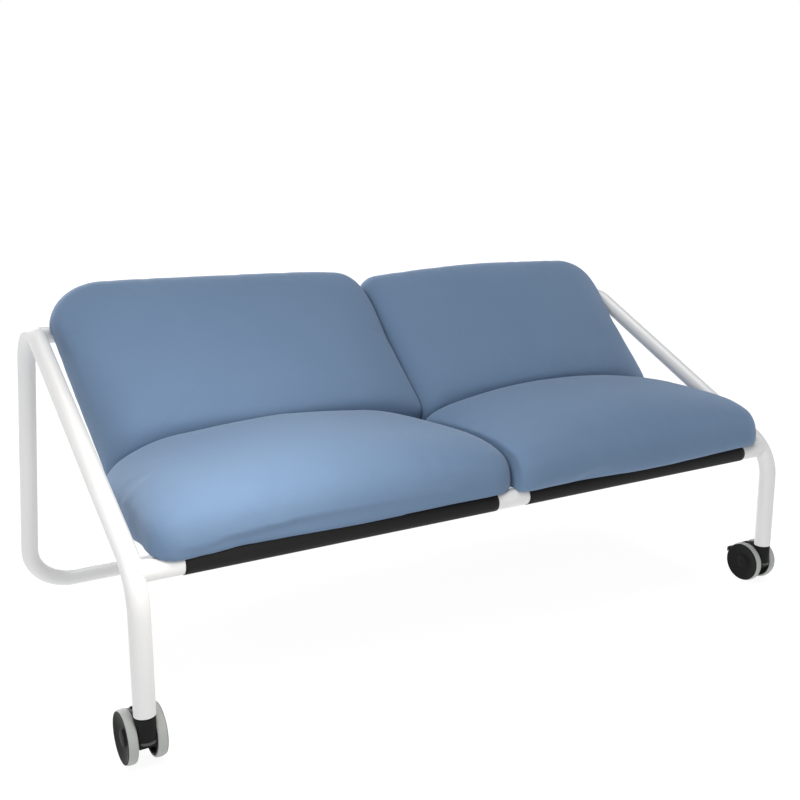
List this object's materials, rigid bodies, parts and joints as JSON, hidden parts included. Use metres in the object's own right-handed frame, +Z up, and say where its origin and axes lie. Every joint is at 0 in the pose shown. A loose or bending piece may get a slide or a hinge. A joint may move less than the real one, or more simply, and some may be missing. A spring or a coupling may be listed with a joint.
{
  "type": "office sofa",
  "caption": "Low seating unit with a bent white tube frame, braked twin-wheel casters in front, a floor bar behind, black cloth slings and loose blue seat and back cushions",
  "frame": {"origin": "On the floor, under the middle of the sofa: the bottom centre of the whole object's box.", "axes": "+X along the sofa, to the right as seen from the front; -Y is the way a sitter faces; +Z is up."},
  "size_m": [1.3776, 0.777, 0.6451],
  "materials": {
    "frame_paint": "smooth white powder coat, satin",
    "sling_cloth": "tight black woven cloth",
    "cushion_cloth": "smooth grey-blue upholstery cloth",
    "foam": "pale upholstery foam",
    "grip_tape": "black hook-and-loop tape",
    "black_plastic": "black moulded nylon, fine texture",
    "pale_plastic": "natural moulded plastic",
    "tread_rubber": "light grey soft tread",
    "steel": "zinc-plated steel"
  },
  "bodies": {
    "frame": {"back_cover_left": "cushion_cloth", "back_cover_right": "cushion_cloth", "back_foam_left": "foam", "back_foam_right": "foam", "caster_stem_left": "steel", "caster_stem_right": "steel", "floor_bar_spigot": "steel", "floor_glide_left": "black_plastic", "floor_glide_right": "black_plastic", "front_crossbar": "frame_paint", "glide_screws": "steel", "grip_strips_left": "grip_tape", "grip_strips_right": "grip_tape", "seat_cover_left": "cushion_cloth", "seat_cover_right": "cushion_cloth", "seat_foam_left": "foam", "seat_foam_right": "foam", "side_tube_left": "frame_paint", "side_tube_right": "frame_paint", "sling_left": "sling_cloth", "sling_right": "sling_cloth", "spigot_screws": "steel", "stem_sleeve_left": "steel", "stem_sleeve_right": "steel", "stem_socket_left": "pale_plastic", "stem_socket_right": "pale_plastic", "thrust_washer_left": "pale_plastic", "thrust_washer_right": "pale_plastic", "top_crossbar": "frame_paint"},
    "caster_left": {"caster_housing_left": "black_plastic", "caster_axle_left": "steel", "pedal_pin_left": "steel"},
    "wheel_outer_left": {"outer_hub_left": "black_plastic", "outer_tread_left": "tread_rubber"},
    "wheel_inner_left": {"inner_hub_left": "black_plastic", "inner_tread_left": "tread_rubber"},
    "pedal_left": {"brake_pedal_left": "black_plastic"},
    "caster_right": {"caster_housing_right": "black_plastic", "caster_axle_right": "steel", "pedal_pin_right": "steel"},
    "wheel_outer_right": {"outer_hub_right": "black_plastic", "outer_tread_right": "tread_rubber"},
    "wheel_inner_right": {"inner_hub_right": "black_plastic", "inner_tread_right": "tread_rubber"},
    "pedal_right": {"brake_pedal_right": "black_plastic"}
  },
  "joints": [
    {"name": "swivel_left", "type": "hinge", "parent": "frame", "child": "caster_left", "pos_m": [-0.66, -0.3725, 0.06], "axis": [0, 0, 1], "continuous": true},
    {"name": "roll_outer_left", "type": "hinge", "parent": "caster_left", "child": "wheel_outer_left", "pos_m": [-0.66, -0.3467, 0.04], "axis": [1, 0, 0], "continuous": true},
    {"name": "roll_inner_left", "type": "hinge", "parent": "caster_left", "child": "wheel_inner_left", "pos_m": [-0.66, -0.3467, 0.04], "axis": [1, 0, 0], "continuous": true},
    {"name": "brake_left", "type": "hinge", "parent": "caster_left", "child": "pedal_left", "pos_m": [-0.66, -0.3285, 0.064], "axis": [-1, 0, 0], "range_deg": [0, 18]},
    {"name": "swivel_right", "type": "hinge", "parent": "frame", "child": "caster_right", "pos_m": [0.66, -0.3725, 0.06], "axis": [0, 0, 1], "continuous": true},
    {"name": "roll_outer_right", "type": "hinge", "parent": "caster_right", "child": "wheel_outer_right", "pos_m": [0.66, -0.3467, 0.04], "axis": [1, 0, 0], "continuous": true},
    {"name": "roll_inner_right", "type": "hinge", "parent": "caster_right", "child": "wheel_inner_right", "pos_m": [0.66, -0.3467, 0.04], "axis": [1, 0, 0], "continuous": true},
    {"name": "brake_right", "type": "hinge", "parent": "caster_right", "child": "pedal_right", "pos_m": [0.66, -0.3285, 0.064], "axis": [-1, 0, 0], "range_deg": [0, 18]}
  ]
}
